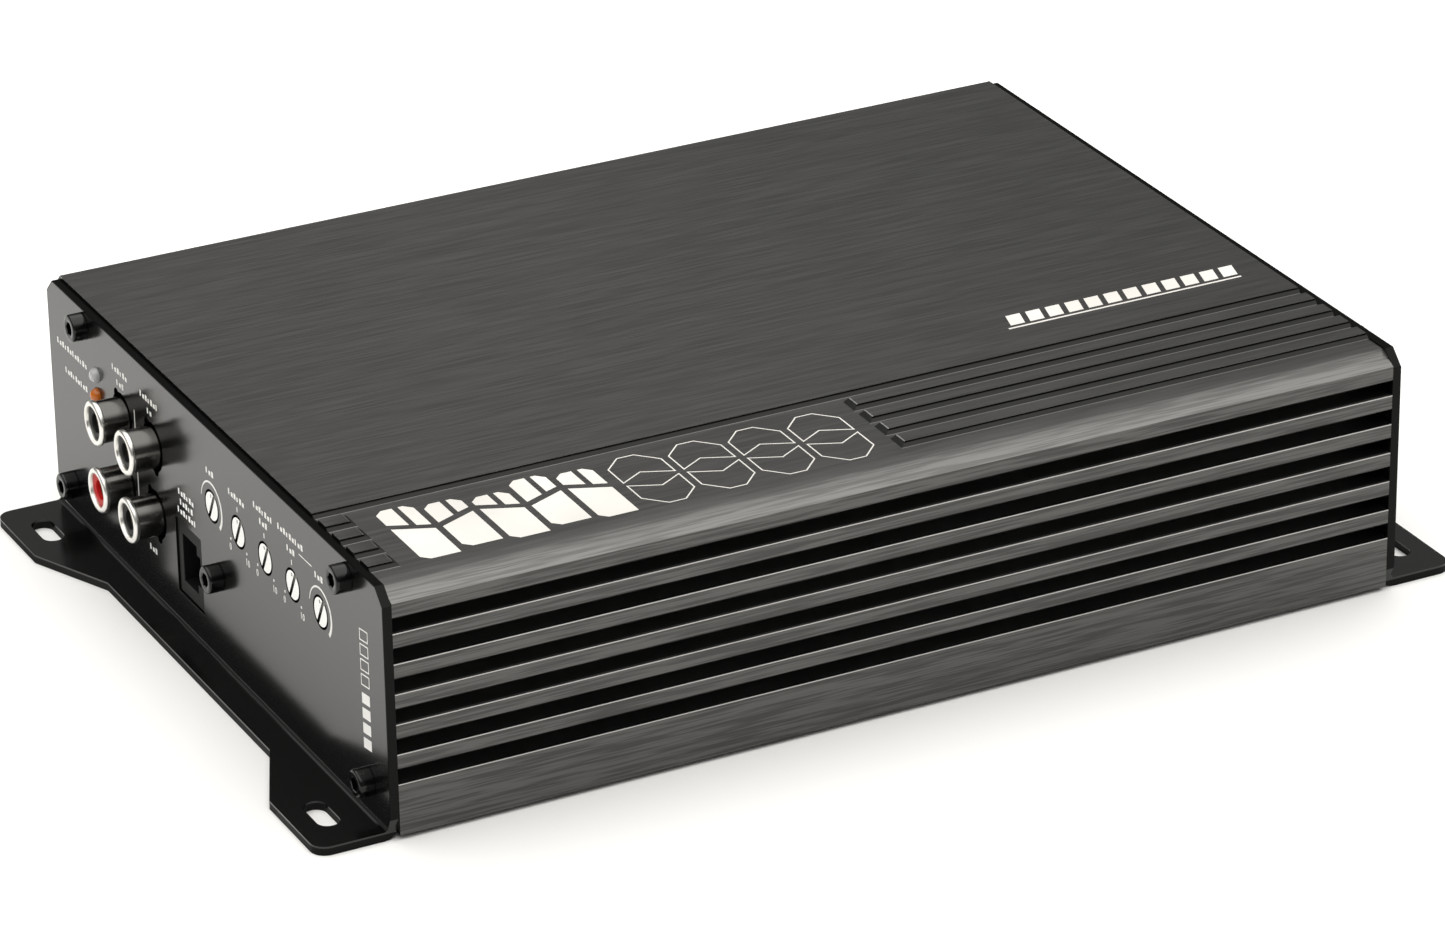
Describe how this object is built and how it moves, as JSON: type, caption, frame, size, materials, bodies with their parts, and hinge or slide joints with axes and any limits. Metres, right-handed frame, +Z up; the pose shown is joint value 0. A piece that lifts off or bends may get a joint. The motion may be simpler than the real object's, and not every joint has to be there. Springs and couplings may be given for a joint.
{
  "type": "car amplifier",
  "caption": "Car audio power amplifier: finned aluminium housing between two bent steel end plates with slotted tabs, sockets and adjusters on one end",
  "frame": {"origin": "middle of the footprint, on the mounting surface", "axes": "+X along the extruded housing from the control panel to the terminals, +Z up, -Y towards the ridged edge"},
  "size_m": [0.2394, 0.158, 0.0504],
  "materials": {
    "anodised_aluminium": "brushed, dark anodised",
    "black_coated_steel": "semi-gloss powder coat",
    "black_screw_steel": "black oxide",
    "bright_steel": "zinc plated",
    "nickel": "polished nickel",
    "gold_contact": "gold flashed",
    "lug_brass": "nickel washed",
    "black_moulding": "moulded, fine texture",
    "red_moulding": "moulded",
    "clear_resin": "clear cast resin",
    "amber_resin": "tinted cast resin",
    "shaft_alloy": "turned bright",
    "blue_moulding": "moulded",
    "circuit_board": "green solder mask",
    "capacitor_sleeve": "heat-shrunk sleeve",
    "ferrite": "sintered, matt",
    "copper_winding": "enamelled wire",
    "thermal_sheet": "silicone pad",
    "fuse_resin": "tinted translucent"
  },
  "bodies": {
    "housing": {"heatsink": "anodised_aluminium", "bottom_cover": "black_coated_steel", "bottom_cover_screws": "bright_steel", "input_end_plate": "black_coated_steel", "output_end_plate": "black_coated_steel", "end_plate_screws": "black_screw_steel", "rca_housing": "black_moulding", "rca_shells": "nickel", "rca_black_insulators": "black_moulding", "rca_red_insulator": "red_moulding", "rca_center_contacts": "gold_contact", "power_lamp": "clear_resin", "protect_lamp": "amber_resin", "lamp_leads": "bright_steel", "pot_bodies": "blue_moulding", "pot_back_covers": "bright_steel", "remote_jack": "black_moulding", "remote_jack_contacts": "gold_contact", "main_board": "circuit_board", "front_board": "circuit_board", "board_standoffs": "lug_brass", "board_screws": "bright_steel", "board_link": "black_moulding", "panel_bracket": "shaft_alloy", "capacitors": "capacitor_sleeve", "toroid_core": "ferrite", "toroid_winding": "copper_winding", "output_coil_core": "ferrite", "output_coil_winding": "copper_winding", "transistor_bodies": "black_moulding", "transistor_tabs": "bright_steel", "thermal_pads": "thermal_sheet", "clamp_bars": "shaft_alloy", "clamp_screws": "bright_steel", "power_block": "black_moulding", "speaker_block": "black_moulding", "terminal_lugs": "lug_brass", "fuse_holder": "black_moulding", "fuse_clips": "lug_brass"},
    "gain_adjuster": {"gain_shaft": "shaft_alloy"},
    "low_pass_adjuster": {"low_pass_shaft": "shaft_alloy"},
    "subsonic_adjuster": {"subsonic_shaft": "shaft_alloy"},
    "boost_frequency_adjuster": {"boost_frequency_shaft": "shaft_alloy"},
    "boost_level_adjuster": {"boost_level_shaft": "shaft_alloy"},
    "battery_clamp": {"battery_foot": "lug_brass"},
    "battery_setscrew": {"battery_screw": "bright_steel"},
    "remote_clamp": {"remote_foot": "lug_brass"},
    "remote_setscrew": {"remote_screw": "bright_steel"},
    "ground_clamp": {"ground_foot": "lug_brass"},
    "ground_setscrew": {"ground_screw": "bright_steel"},
    "speaker_plus_clamp": {"speaker_plus_foot": "lug_brass"},
    "speaker_plus_setscrew": {"speaker_plus_screw": "bright_steel"},
    "speaker_minus_clamp": {"speaker_minus_foot": "lug_brass"},
    "speaker_minus_setscrew": {"speaker_minus_screw": "bright_steel"},
    "fuse_a": {"fuse_a_body": "fuse_resin", "fuse_a_blades": "bright_steel"},
    "fuse_b": {"fuse_b_body": "fuse_resin", "fuse_b_blades": "bright_steel"}
  },
  "joints": [
    {"name": "gain_turn", "type": "hinge", "parent": "housing", "child": "gain_adjuster", "pos_m": [-0.1056, -0.0014, 0.0338], "axis": [1, 0, 0], "range_deg": [-168, 112]},
    {"name": "low_pass_turn", "type": "hinge", "parent": "housing", "child": "low_pass_adjuster", "pos_m": [-0.1056, -0.01385, 0.0338], "axis": [1, 0, 0], "range_deg": [-168, 112]},
    {"name": "subsonic_turn", "type": "hinge", "parent": "housing", "child": "subsonic_adjuster", "pos_m": [-0.1056, -0.0263, 0.0338], "axis": [1, 0, 0], "range_deg": [-168, 112]},
    {"name": "boost_frequency_turn", "type": "hinge", "parent": "housing", "child": "boost_frequency_adjuster", "pos_m": [-0.1056, -0.03875, 0.0338], "axis": [1, 0, 0], "range_deg": [-168, 112]},
    {"name": "boost_level_turn", "type": "hinge", "parent": "housing", "child": "boost_level_adjuster", "pos_m": [-0.1056, -0.0512, 0.0338], "axis": [1, 0, 0], "range_deg": [-168, 112]},
    {"name": "battery_clamp_slide", "type": "slide", "parent": "housing", "child": "battery_clamp", "axis": [0, 0, 1], "range_m": [-0.004, 0]},
    {"name": "battery_screw_turn", "type": "hinge", "parent": "battery_clamp", "child": "battery_setscrew", "pos_m": [0.1094, -0.0505, 0.025], "axis": [0, 0, 1], "range_deg": [-1440, 0]},
    {"name": "remote_clamp_slide", "type": "slide", "parent": "housing", "child": "remote_clamp", "axis": [0, 0, 1], "range_m": [-0.00175, 0]},
    {"name": "remote_screw_turn", "type": "hinge", "parent": "remote_clamp", "child": "remote_setscrew", "pos_m": [0.1094, -0.034, 0.025], "axis": [0, 0, 1], "range_deg": [-900, 0]},
    {"name": "ground_clamp_slide", "type": "slide", "parent": "housing", "child": "ground_clamp", "axis": [0, 0, 1], "range_m": [-0.004, 0]},
    {"name": "ground_screw_turn", "type": "hinge", "parent": "ground_clamp", "child": "ground_setscrew", "pos_m": [0.1094, -0.0175, 0.025], "axis": [0, 0, 1], "range_deg": [-1440, 0]},
    {"name": "speaker_plus_clamp_slide", "type": "slide", "parent": "housing", "child": "speaker_plus_clamp", "axis": [0, 0, 1], "range_m": [-0.0028, 0]},
    {"name": "speaker_plus_screw_turn", "type": "hinge", "parent": "speaker_plus_clamp", "child": "speaker_plus_setscrew", "pos_m": [0.1094, 0.0565, 0.025], "axis": [0, 0, 1], "range_deg": [-1260, 0]},
    {"name": "speaker_minus_clamp_slide", "type": "slide", "parent": "housing", "child": "speaker_minus_clamp", "axis": [0, 0, 1], "range_m": [-0.0028, 0]},
    {"name": "speaker_minus_screw_turn", "type": "hinge", "parent": "speaker_minus_clamp", "child": "speaker_minus_setscrew", "pos_m": [0.1094, 0.0435, 0.025], "axis": [0, 0, 1], "range_deg": [-1260, 0]},
    {"name": "fuse_a_pull", "type": "slide", "parent": "housing", "child": "fuse_a", "axis": [1, 0, 0], "range_m": [0, 0.013]},
    {"name": "fuse_b_pull", "type": "slide", "parent": "housing", "child": "fuse_b", "axis": [1, 0, 0], "range_m": [0, 0.013]}
  ],
  "couplings": [
    {"joint": "battery_screw_turn", "follows": "battery_clamp_slide", "rad_per_m": 6283.2},
    {"joint": "remote_screw_turn", "follows": "remote_clamp_slide", "rad_per_m": 8976},
    {"joint": "ground_screw_turn", "follows": "ground_clamp_slide", "rad_per_m": 6283.2},
    {"joint": "speaker_plus_screw_turn", "follows": "speaker_plus_clamp_slide", "rad_per_m": 7854},
    {"joint": "speaker_minus_screw_turn", "follows": "speaker_minus_clamp_slide", "rad_per_m": 7854}
  ]
}
